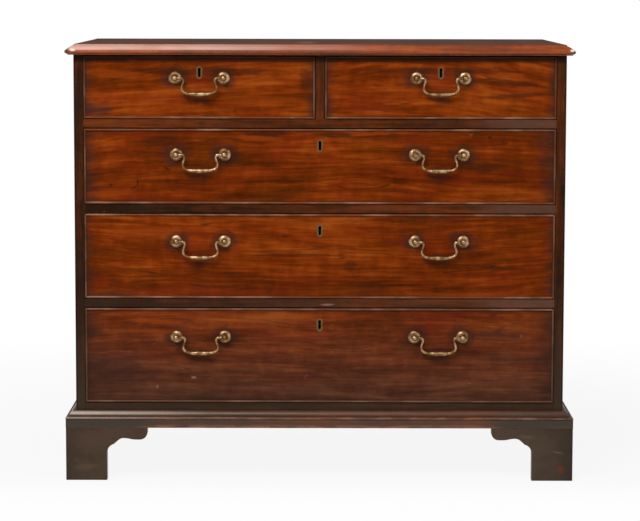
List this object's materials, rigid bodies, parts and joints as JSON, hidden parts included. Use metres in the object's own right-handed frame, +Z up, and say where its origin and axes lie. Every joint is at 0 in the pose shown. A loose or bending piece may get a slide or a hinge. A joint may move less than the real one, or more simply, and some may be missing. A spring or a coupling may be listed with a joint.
{
  "type": "chest of drawers",
  "caption": "Straight-front chest: short drawers over graduated long drawers with cock-beaded fronts, bail handles and locks, under a moulded top, on bracket feet.",
  "frame": {"origin": "on the floor, below the middle of the whole chest", "axes": "+Z up, the front faces -Y, +X to the right seen from the front"},
  "size_m": [1.078, 0.534, 0.925],
  "materials": {
    "mahogany_fronts": "waxed, figured",
    "mahogany_carcase": "dark waxed patina",
    "mahogany_beads": "waxed, rubbed",
    "oak": "bare, aged",
    "pine": "bare, aged",
    "brass": "aged, rubbed bright",
    "steel": "dulled"
  },
  "bodies": {
    "carcase": {"top": "mahogany_carcase", "left_side": "mahogany_carcase", "right_side": "mahogany_carcase", "upper_rail": "mahogany_carcase", "middle_rail": "mahogany_carcase", "lower_rail": "mahogany_carcase", "bottom_rail": "mahogany_carcase", "short_drawer_divider": "mahogany_carcase", "base_moulding": "mahogany_carcase", "front_left_foot": "mahogany_carcase", "front_right_foot": "mahogany_carcase", "rear_feet": "mahogany_carcase", "dustboards": "pine", "bottom_board": "pine", "back_boards": "pine", "foot_blocks": "pine", "drawer_guide_and_stops": "pine"},
    "short_left_drawer": {"short_left_drawer_front": "mahogany_fronts", "short_left_drawer_cock_beads": "mahogany_beads", "short_left_drawer_box": "oak", "short_left_drawer_bottom": "oak", "short_left_drawer_lock": "brass", "short_left_drawer_handle_posts": "brass"},
    "short_left_drawer_lock_bolt": {"short_left_drawer_lock_bolt": "steel"},
    "short_left_drawer_bail": {"short_left_drawer_bail": "brass"},
    "short_right_drawer": {"short_right_drawer_front": "mahogany_fronts", "short_right_drawer_cock_beads": "mahogany_beads", "short_right_drawer_box": "oak", "short_right_drawer_bottom": "oak", "short_right_drawer_lock": "brass", "short_right_drawer_handle_posts": "brass"},
    "short_right_drawer_lock_bolt": {"short_right_drawer_lock_bolt": "steel"},
    "short_right_drawer_bail": {"short_right_drawer_bail": "brass"},
    "upper_drawer": {"upper_drawer_front": "mahogany_fronts", "upper_drawer_cock_beads": "mahogany_beads", "upper_drawer_box": "oak", "upper_drawer_bottom": "oak", "upper_drawer_lock": "brass", "upper_drawer_handle_posts": "brass"},
    "upper_drawer_lock_bolt": {"upper_drawer_lock_bolt": "steel"},
    "upper_drawer_left_bail": {"upper_drawer_left_bail": "brass"},
    "upper_drawer_right_bail": {"upper_drawer_right_bail": "brass"},
    "middle_drawer": {"middle_drawer_front": "mahogany_fronts", "middle_drawer_cock_beads": "mahogany_beads", "middle_drawer_box": "oak", "middle_drawer_bottom": "oak", "middle_drawer_lock": "brass", "middle_drawer_handle_posts": "brass"},
    "middle_drawer_lock_bolt": {"middle_drawer_lock_bolt": "steel"},
    "middle_drawer_left_bail": {"middle_drawer_left_bail": "brass"},
    "middle_drawer_right_bail": {"middle_drawer_right_bail": "brass"},
    "lower_drawer": {"lower_drawer_front": "mahogany_fronts", "lower_drawer_cock_beads": "mahogany_beads", "lower_drawer_box": "oak", "lower_drawer_bottom": "oak", "lower_drawer_lock": "brass", "lower_drawer_handle_posts": "brass"},
    "lower_drawer_lock_bolt": {"lower_drawer_lock_bolt": "steel"},
    "lower_drawer_left_bail": {"lower_drawer_left_bail": "brass"},
    "lower_drawer_right_bail": {"lower_drawer_right_bail": "brass"}
  },
  "joints": [
    {"name": "short_left_drawer_slide", "type": "slide", "parent": "carcase", "child": "short_left_drawer", "axis": [0, -1, 0], "range_m": [0, 0.36]},
    {"name": "short_left_drawer_bolt_throw", "type": "slide", "parent": "short_left_drawer", "child": "short_left_drawer_lock_bolt", "axis": [0, 0, 1], "range_m": [0, 0.008]},
    {"name": "short_left_drawer_bail_swing", "type": "hinge", "parent": "short_left_drawer", "child": "short_left_drawer_bail", "pos_m": [-0.25375, -0.2595, 0.8545], "axis": [-1, 0, 0], "range_deg": [-10, 165]},
    {"name": "short_right_drawer_slide", "type": "slide", "parent": "carcase", "child": "short_right_drawer", "axis": [0, -1, 0], "range_m": [0, 0.36]},
    {"name": "short_right_drawer_bolt_throw", "type": "slide", "parent": "short_right_drawer", "child": "short_right_drawer_lock_bolt", "axis": [0, 0, 1], "range_m": [0, 0.008]},
    {"name": "short_right_drawer_bail_swing", "type": "hinge", "parent": "short_right_drawer", "child": "short_right_drawer_bail", "pos_m": [0.25375, -0.2595, 0.8545], "axis": [-1, 0, 0], "range_deg": [-10, 165]},
    {"name": "upper_drawer_slide", "type": "slide", "parent": "carcase", "child": "upper_drawer", "axis": [0, -1, 0], "range_m": [0, 0.36]},
    {"name": "upper_drawer_bolt_throw", "type": "slide", "parent": "upper_drawer", "child": "upper_drawer_lock_bolt", "axis": [0, 0, 1], "range_m": [0, 0.008]},
    {"name": "upper_drawer_left_bail_swing", "type": "hinge", "parent": "upper_drawer", "child": "upper_drawer_left_bail", "pos_m": [-0.252, -0.2595, 0.6935], "axis": [-1, 0, 0], "range_deg": [-10, 165]},
    {"name": "upper_drawer_right_bail_swing", "type": "hinge", "parent": "upper_drawer", "child": "upper_drawer_right_bail", "pos_m": [0.252, -0.2595, 0.6935], "axis": [-1, 0, 0], "range_deg": [-10, 165]},
    {"name": "middle_drawer_slide", "type": "slide", "parent": "carcase", "child": "middle_drawer", "axis": [0, -1, 0], "range_m": [0, 0.36]},
    {"name": "middle_drawer_bolt_throw", "type": "slide", "parent": "middle_drawer", "child": "middle_drawer_lock_bolt", "axis": [0, 0, 1], "range_m": [0, 0.008]},
    {"name": "middle_drawer_left_bail_swing", "type": "hinge", "parent": "middle_drawer", "child": "middle_drawer_left_bail", "pos_m": [-0.252, -0.2595, 0.5095], "axis": [-1, 0, 0], "range_deg": [-10, 165]},
    {"name": "middle_drawer_right_bail_swing", "type": "hinge", "parent": "middle_drawer", "child": "middle_drawer_right_bail", "pos_m": [0.252, -0.2595, 0.5095], "axis": [-1, 0, 0], "range_deg": [-10, 165]},
    {"name": "lower_drawer_slide", "type": "slide", "parent": "carcase", "child": "lower_drawer", "axis": [0, -1, 0], "range_m": [0, 0.36]},
    {"name": "lower_drawer_bolt_throw", "type": "slide", "parent": "lower_drawer", "child": "lower_drawer_lock_bolt", "axis": [0, 0, 1], "range_m": [0, 0.008]},
    {"name": "lower_drawer_left_bail_swing", "type": "hinge", "parent": "lower_drawer", "child": "lower_drawer_left_bail", "pos_m": [-0.252, -0.2595, 0.3055], "axis": [-1, 0, 0], "range_deg": [-10, 165]},
    {"name": "lower_drawer_right_bail_swing", "type": "hinge", "parent": "lower_drawer", "child": "lower_drawer_right_bail", "pos_m": [0.252, -0.2595, 0.3055], "axis": [-1, 0, 0], "range_deg": [-10, 165]}
  ]
}
